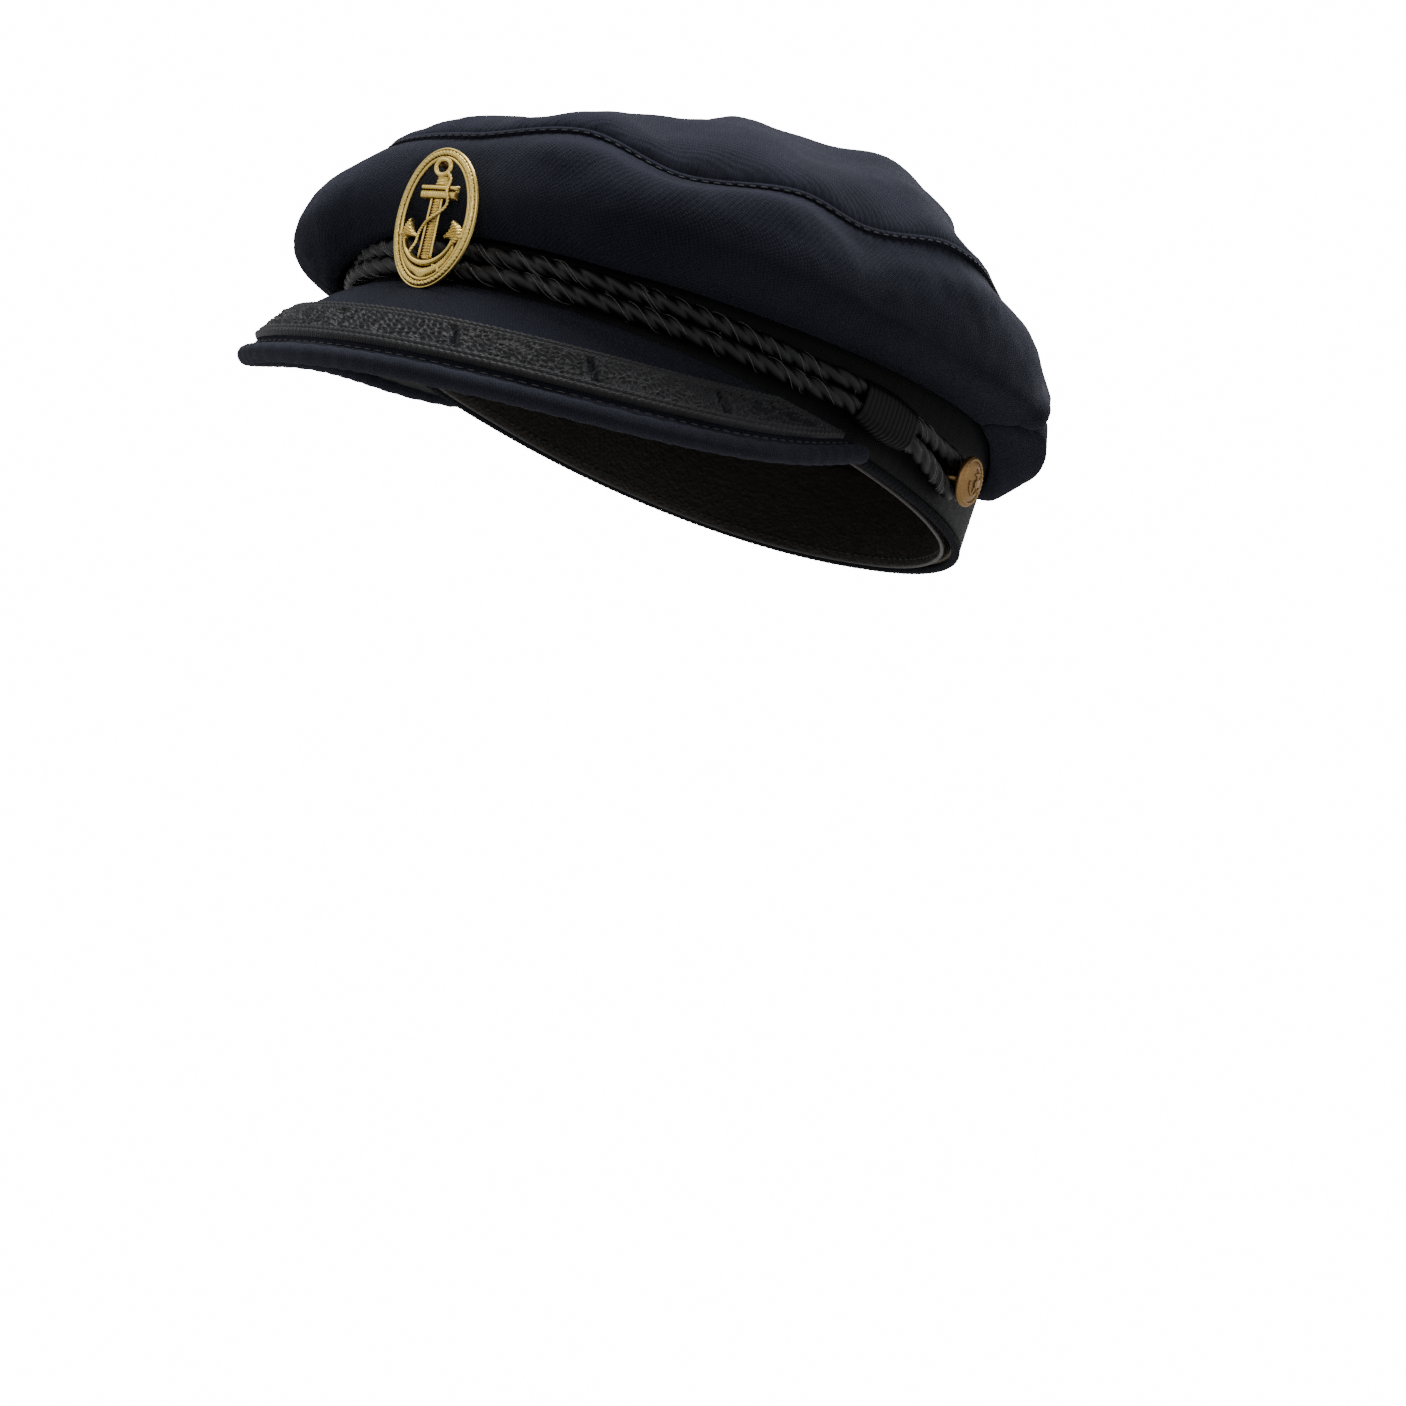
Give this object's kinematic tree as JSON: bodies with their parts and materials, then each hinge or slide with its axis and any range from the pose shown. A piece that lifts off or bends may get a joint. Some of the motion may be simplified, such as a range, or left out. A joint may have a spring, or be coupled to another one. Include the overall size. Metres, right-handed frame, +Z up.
{
  "type": "peaked cap",
  "caption": "Mariner's peaked cap with a soft oval crown, dark band, braided visor, doubled chin cord, two side buttons and an oval anchor badge.",
  "frame": {"origin": "centre of the head opening, in the plane of the band's lower edge", "axes": "+Z up through the crown; -Y towards the visor, the wearer's front; +X the wearer's left"},
  "size_m": [0.2004, 0.2544, 0.1298],
  "materials": {
    "crown_cloth": "woven wool, matt with a soft sheen",
    "lining_cloth": "smooth lining satin",
    "foam_stay": "plain",
    "band_cloth": "ribbed mohair",
    "welt_cloth": "plain",
    "band_board": "plain",
    "sweatband_leather": "satin",
    "visor_fibreboard": "plain",
    "visor_cloth": "fine weave",
    "visor_underlay": "satin",
    "braid_thread": "dense embroidery",
    "cord_thread": "twisted satin thread",
    "brass": "stamped, lightly worn",
    "brass_plain": "dull"
  },
  "bodies": {
    "cap": {"crown_top": "crown_cloth", "crown_front_panel": "crown_cloth", "crown_rear_panel_left": "crown_cloth", "crown_rear_panel_right": "crown_cloth", "lining_top": "lining_cloth", "lining_front": "lining_cloth", "lining_rear": "lining_cloth", "front_stay": "foam_stay", "band_cover": "band_cloth", "band_welt": "welt_cloth", "band_stiffener": "band_board", "sweatband": "sweatband_leather", "visor_board": "visor_fibreboard", "visor_cover_top": "visor_cloth", "visor_cover_under": "visor_underlay", "visor_braid": "braid_thread", "visor_rolled_edge": "visor_cloth", "chin_cord": "cord_thread", "badge": "brass", "badge_posts": "brass_plain", "badge_nuts": "brass_plain", "button_eyelet_left": "brass_plain", "button_eyelet_right": "brass_plain"},
    "button_left": {"button_shell_left": "brass", "button_back_left": "brass_plain", "button_shank_left": "brass_plain", "button_split_ring_left": "brass_plain"},
    "slide_left": {"cord_slide_left": "cord_thread"},
    "button_right": {"button_shell_right": "brass", "button_back_right": "brass_plain", "button_shank_right": "brass_plain", "button_split_ring_right": "brass_plain"},
    "slide_right": {"cord_slide_right": "cord_thread"}
  },
  "joints": [
    {"name": "button_left_turn", "type": "hinge", "parent": "cap", "child": "button_left", "pos_m": [0.07686, 0.03584, 0.013], "axis": [0.9786, 0.2056, 0], "continuous": true},
    {"name": "slide_left_travel", "type": "slide", "parent": "cap", "child": "slide_left", "axis": [0.046, 0.9989, 0], "range_m": [-0.004, 0.004]},
    {"name": "button_right_turn", "type": "hinge", "parent": "cap", "child": "button_right", "pos_m": [-0.07686, 0.03584, 0.013], "axis": [-0.9786, 0.2056, 0], "continuous": true},
    {"name": "slide_right_travel", "type": "slide", "parent": "cap", "child": "slide_right", "axis": [-0.046, 0.9989, 0], "range_m": [-0.004, 0.004]}
  ]
}
